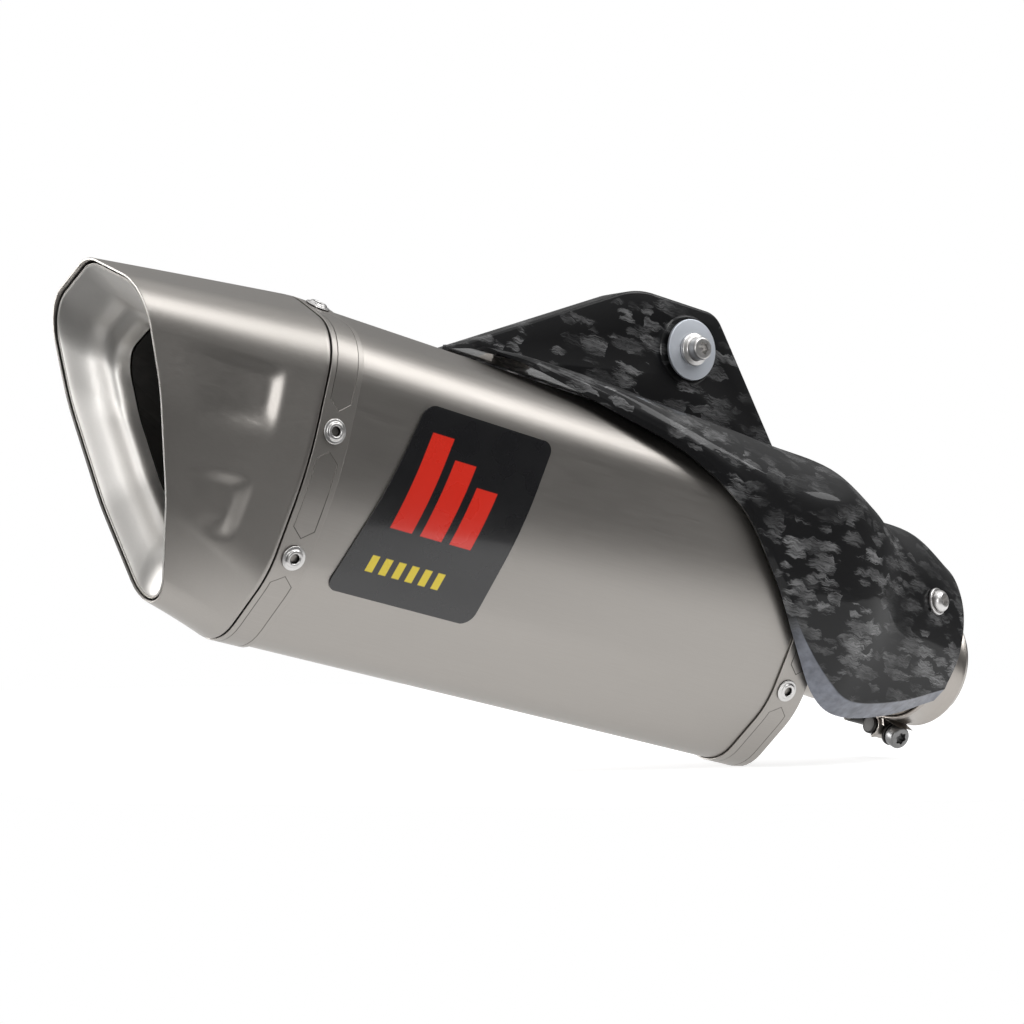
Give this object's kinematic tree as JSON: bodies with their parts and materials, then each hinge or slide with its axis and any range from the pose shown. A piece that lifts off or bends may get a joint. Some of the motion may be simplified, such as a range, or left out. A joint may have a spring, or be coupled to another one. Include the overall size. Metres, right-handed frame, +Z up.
{
  "type": "exhaust silencer",
  "caption": "Short hexagonal slip-on exhaust silencer with a slanted funnel mouth, a carbon hanger bracket, a carbon heat shield and an inlet clamp.",
  "frame": {"origin": "centre of the hanger collar's inboard end face, where the motorcycle's hanger tab bears", "axes": "+X forward along the motorcycle, towards the inlet, +Y inboard along the hanger bolt, +Z up"},
  "size_m": [0.4563, 0.1096, 0.2125],
  "materials": {
    "titanium": "fine satin brushed titanium, warm grey",
    "titanium_inner": "plain satin titanium",
    "stainless": "bright turned stainless steel",
    "black_steel": "blackened steel, slightly rough",
    "forged_carbon": "chopped carbon chips under gloss clear coat",
    "packing_wool": "pale basalt and glass wool",
    "bush_rubber": "matte black rubber",
    "badge_film": null
  },
  "bodies": {
    "can": {"outlet_cap": "titanium", "outlet_funnel": "titanium", "outer_sleeve": "titanium", "rear_band": "titanium", "front_band": "titanium", "outlet_tube": "titanium_inner", "outlet_bulkhead": "titanium_inner", "inlet_cap": "titanium_inner", "inlet_pipe": "titanium_inner", "bracket_lug_rear": "titanium_inner", "bracket_lug_front": "titanium_inner", "shield_standoff": "titanium_inner", "perforated_core": "stainless", "hanger_collar": "stainless", "shield_washer": "stainless", "rear_rivet_1": "stainless", "rear_rivet_2": "stainless", "rear_rivet_3": "stainless", "rear_rivet_4": "stainless", "rear_rivet_5": "stainless", "rear_rivet_6": "stainless", "front_rivet_1": "stainless", "front_rivet_2": "stainless", "front_rivet_3": "stainless", "front_rivet_4": "stainless", "front_rivet_5": "stainless", "front_rivet_6": "stainless", "hanger_bracket": "forged_carbon", "heat_shield": "forged_carbon", "packing": "packing_wool", "hanger_bush": "bush_rubber", "name_badge": "badge_film"},
    "clamp": {"clamp_band": "stainless", "clamp_barrel": "black_steel", "clamp_barrel_nut": "black_steel", "clamp_washer": "black_steel"},
    "clamp_bolt": {"clamp_bolt": "stainless"},
    "hanger_bolt": {"hanger_bolt": "stainless"},
    "shield_screw": {"shield_screw": "stainless"},
    "bracket_screw_rear": {"bracket_screw_rear": "stainless"},
    "bracket_screw_front": {"bracket_screw_front": "stainless"}
  },
  "joints": [
    {"name": "clamp_swivel", "type": "hinge", "parent": "can", "child": "clamp", "pos_m": [0.13175, -0.03, -0.14251], "axis": [0.9781, 0, -0.2079], "range_deg": [-40, 90]},
    {"name": "clamp_bolt_turn", "type": "hinge", "parent": "clamp", "child": "clamp_bolt", "pos_m": [0.12469, -0.0236, -0.17573], "axis": [-0.0745, -0.9336, -0.3505], "continuous": true},
    {"name": "hanger_bolt_turn", "type": "hinge", "parent": "can", "child": "hanger_bolt", "pos_m": [0, -0.02, 0], "axis": [0, -1, 0], "continuous": true},
    {"name": "shield_screw_turn", "type": "hinge", "parent": "can", "child": "shield_screw", "pos_m": [0.11015, -0.06745, -0.11352], "axis": [0.2129, -0.9688, 0.1266], "continuous": true},
    {"name": "bracket_screw_rear_turn", "type": "hinge", "parent": "can", "child": "bracket_screw_rear", "pos_m": [-0.09835, -0.0134, -0.01539], "axis": [0, 1, 0], "continuous": true},
    {"name": "bracket_screw_front_turn", "type": "hinge", "parent": "can", "child": "bracket_screw_front", "pos_m": [0.02099, -0.0134, -0.04075], "axis": [0, 1, 0], "continuous": true}
  ]
}
